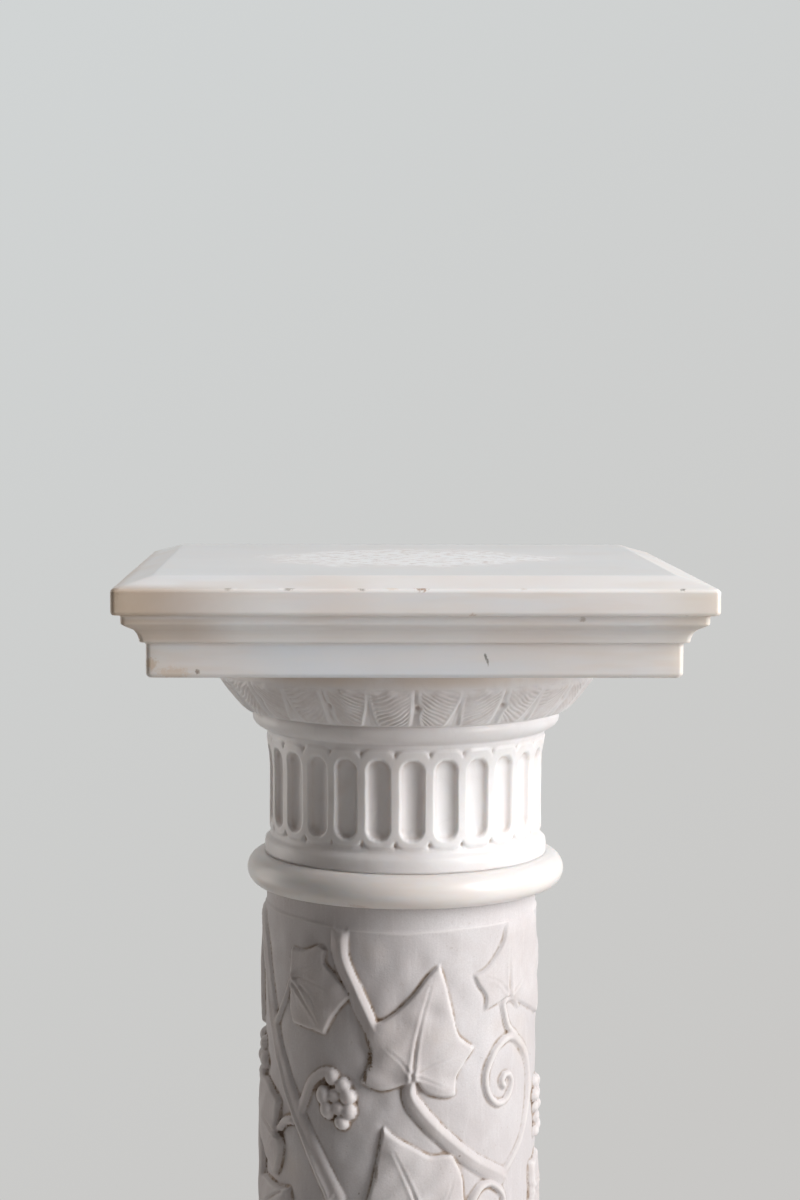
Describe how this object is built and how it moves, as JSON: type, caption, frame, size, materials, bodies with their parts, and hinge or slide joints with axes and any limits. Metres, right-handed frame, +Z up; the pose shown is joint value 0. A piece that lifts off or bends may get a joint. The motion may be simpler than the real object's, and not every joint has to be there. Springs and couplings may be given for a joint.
{
  "type": "marble display column",
  "caption": "Carved marble display column: square moulded top, leafy fluted capital, polished ring, round shaft with vine relief, turned base and square plinth.",
  "frame": {"origin": "centre of the plinth's underside, on the floor", "axes": "+Z up along the shaft; the column's front, as pictured, faces -Y, and +X is to the right of the front"},
  "size_m": [0.32, 0.32, 1.0778],
  "materials": {
    "cream_marble": "polished",
    "white_marble": "satin",
    "dusty_marble": "matte"
  },
  "bodies": {
    "root": {"plinth": "dusty_marble", "base_ring": "dusty_marble", "shaft": "dusty_marble", "torus_ring": "cream_marble", "capital": "white_marble", "top_slab": "cream_marble"}
  },
  "joints": []
}
